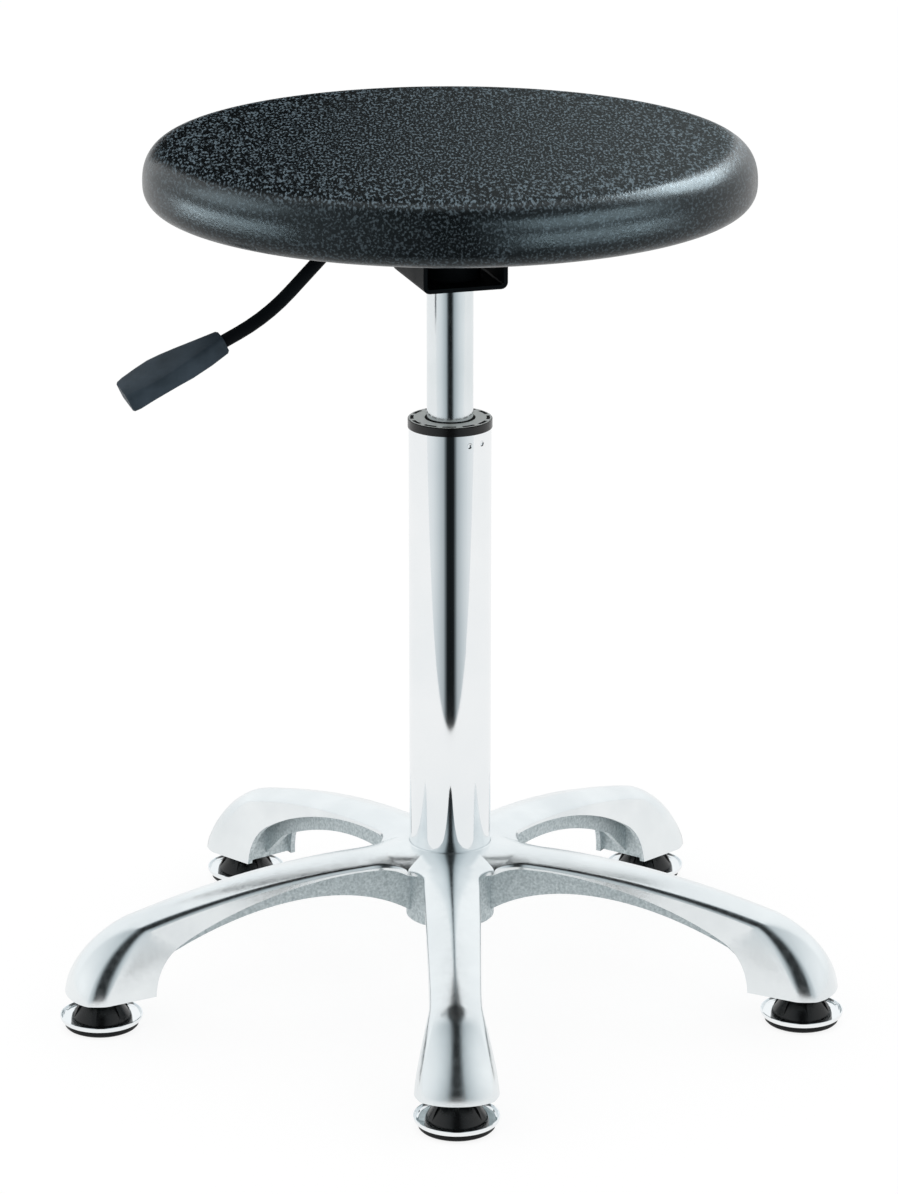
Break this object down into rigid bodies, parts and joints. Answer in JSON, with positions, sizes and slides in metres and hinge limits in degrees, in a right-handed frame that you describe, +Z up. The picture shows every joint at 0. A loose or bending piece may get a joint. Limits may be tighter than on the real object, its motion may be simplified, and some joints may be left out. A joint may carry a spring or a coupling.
{
  "type": "round stool",
  "caption": "Height-adjustable round work stool with a foam seat, gas lift, side release lever and a cast star base on swivelling glides.",
  "frame": {"origin": "on the floor, on the column axis", "axes": "+Z up along the column; -Y along the front arm; +X to the sitter's right-hand arms seen from the front"},
  "size_m": [0.4766, 0.4558, 0.5333],
  "materials": {
    "cast_aluminium": "die cast, polished on the upper faces, rough cast underneath",
    "chrome_plate": "bright chrome plate",
    "bright_steel": "turned or zinc plated steel",
    "spring_steel": "oiled spring steel",
    "brass": "turned",
    "black_plastic": "moulded, satin",
    "grey_plastic": "moulded, satin",
    "white_plastic": "machined nylon",
    "rubber": "moulded seal rubber",
    "pad_rubber": "hard floor pad",
    "black_paint": "gloss black powder coat",
    "handle_plastic": "moulded, fine grain",
    "plywood": "bare birch plywood",
    "seat_skin": "grained polyurethane skin, semi-matte",
    "seat_foam": "polyurethane foam core"
  },
  "bodies": {
    "base": {"star_base": "cast_aluminium", "outer_tube": "chrome_plate", "tube_collar": "black_plastic", "guide_bush": "grey_plastic", "bottom_plate": "bright_steel", "bearing_lower_race": "bright_steel"},
    "spindle": {"piston_rod": "bright_steel", "piston": "brass", "piston_seal": "rubber", "bumper": "rubber", "bearing_upper_race": "bright_steel", "bearing_cage": "brass", "bearing_balls": "bright_steel", "rod_washer": "bright_steel", "rod_clip": "spring_steel"},
    "seat": {"gas_cylinder": "chrome_plate", "pressure_tube": "bright_steel", "rod_guide": "white_plastic", "rod_seal": "rubber", "valve_body": "brass", "taper_socket": "black_paint", "bracket_channel": "black_paint", "mount_plate": "black_paint", "pivot_block": "white_plastic", "seat_board": "plywood", "tee_nuts": "bright_steel", "mount_bolts": "bright_steel", "mount_washers": "bright_steel", "seat_cushion": "seat_skin", "seat_core": "seat_foam"},
    "lever": {"lever_rod": "black_paint", "lever_handle": "handle_plastic", "lever_pivot_pin": "bright_steel"},
    "button": {"release_pin": "bright_steel"},
    "glide_1": {"glide_stem_1": "bright_steel", "glide_ring_1": "spring_steel", "glide_body_1": "black_plastic", "glide_dish_1": "chrome_plate", "glide_pad_1": "pad_rubber"},
    "glide_2": {"glide_stem_2": "bright_steel", "glide_ring_2": "spring_steel", "glide_body_2": "black_plastic", "glide_dish_2": "chrome_plate", "glide_pad_2": "pad_rubber"},
    "glide_3": {"glide_stem_3": "bright_steel", "glide_ring_3": "spring_steel", "glide_body_3": "black_plastic", "glide_dish_3": "chrome_plate", "glide_pad_3": "pad_rubber"},
    "glide_4": {"glide_stem_4": "bright_steel", "glide_ring_4": "spring_steel", "glide_body_4": "black_plastic", "glide_dish_4": "chrome_plate", "glide_pad_4": "pad_rubber"},
    "glide_5": {"glide_stem_5": "bright_steel", "glide_ring_5": "spring_steel", "glide_body_5": "black_plastic", "glide_dish_5": "chrome_plate", "glide_pad_5": "pad_rubber"}
  },
  "joints": [
    {"name": "seat_swivel", "type": "hinge", "parent": "base", "child": "spindle", "pos_m": [0, 0, 0.0525], "axis": [0, 0, 1], "continuous": true},
    {"name": "height_slide", "type": "slide", "parent": "spindle", "child": "seat", "axis": [0, 0, 1], "range_m": [-0.075, 0.065]},
    {"name": "release_lever", "type": "hinge", "parent": "seat", "child": "lever", "pos_m": [-0.01922, -0.00551, 0.484], "axis": [-0.2756, 0.9613, 0], "range_deg": [0, 6.5], "stiffness_Nm_per_rad": 1.5, "springref_deg": -17.19},
    {"name": "release_button", "type": "slide", "parent": "seat", "child": "button", "axis": [0, 0, 1], "range_m": [-0.0025, 0]},
    {"name": "glide_1_swivel", "type": "hinge", "parent": "base", "child": "glide_1", "pos_m": [0, -0.224, 0.03], "axis": [0, 0, 1], "continuous": true},
    {"name": "glide_2_swivel", "type": "hinge", "parent": "base", "child": "glide_2", "pos_m": [0.21304, -0.06922, 0.03], "axis": [0, 0, 1], "continuous": true},
    {"name": "glide_3_swivel", "type": "hinge", "parent": "base", "child": "glide_3", "pos_m": [0.13166, 0.18122, 0.03], "axis": [0, 0, 1], "continuous": true},
    {"name": "glide_4_swivel", "type": "hinge", "parent": "base", "child": "glide_4", "pos_m": [-0.13166, 0.18122, 0.03], "axis": [0, 0, 1], "continuous": true},
    {"name": "glide_5_swivel", "type": "hinge", "parent": "base", "child": "glide_5", "pos_m": [-0.21304, -0.06922, 0.03], "axis": [0, 0, 1], "continuous": true}
  ],
  "couplings": [
    {"joint": "release_button", "follows": "release_lever", "m_per_rad": -0.02}
  ]
}
